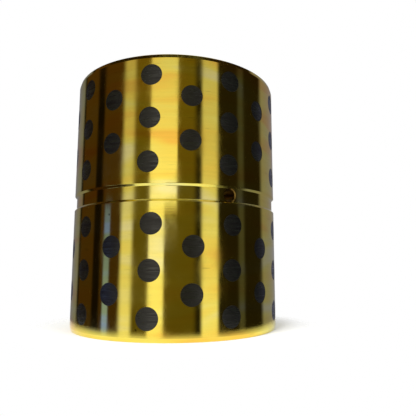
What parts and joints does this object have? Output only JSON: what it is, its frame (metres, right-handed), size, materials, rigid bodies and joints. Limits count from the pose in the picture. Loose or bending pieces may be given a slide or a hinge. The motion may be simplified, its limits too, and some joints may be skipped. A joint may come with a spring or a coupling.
{
  "type": "graphite plugged bushing",
  "caption": "Solid-lubricant plain bushing: a turned bronze sleeve with round graphite plugs set through its wall, an oil groove round its middle and a radial oil hole.",
  "frame": {"origin": "middle of the lower end face, on the sleeve's axis", "axes": "+Z along the sleeve's axis; -Y through the oil hole"},
  "size_m": [0.11, 0.11, 0.13],
  "materials": {
    "bronze": "polished",
    "graphite": "satin"
  },
  "bodies": {
    "root": {"bronze_sleeve": "bronze", "lower_plugs_000": "graphite", "lower_plugs_020": "graphite", "lower_plugs_040": "graphite", "lower_plugs_060": "graphite", "lower_plugs_080": "graphite", "lower_plugs_100": "graphite", "lower_plugs_120": "graphite", "lower_plugs_140": "graphite", "lower_plugs_160": "graphite", "lower_plugs_180": "graphite", "lower_plugs_200": "graphite", "lower_plugs_220": "graphite", "lower_plugs_240": "graphite", "lower_plugs_260": "graphite", "lower_plugs_280": "graphite", "lower_plugs_300": "graphite", "lower_plugs_320": "graphite", "lower_plugs_340": "graphite", "upper_plugs_000": "graphite", "upper_plugs_020": "graphite", "upper_plugs_040": "graphite", "upper_plugs_060": "graphite", "upper_plugs_080": "graphite", "upper_plugs_100": "graphite", "upper_plugs_120": "graphite", "upper_plugs_140": "graphite", "upper_plugs_160": "graphite", "upper_plugs_180": "graphite", "upper_plugs_200": "graphite", "upper_plugs_220": "graphite", "upper_plugs_240": "graphite", "upper_plugs_260": "graphite", "upper_plugs_280": "graphite", "upper_plugs_300": "graphite", "upper_plugs_320": "graphite", "upper_plugs_340": "graphite"}
  },
  "joints": []
}
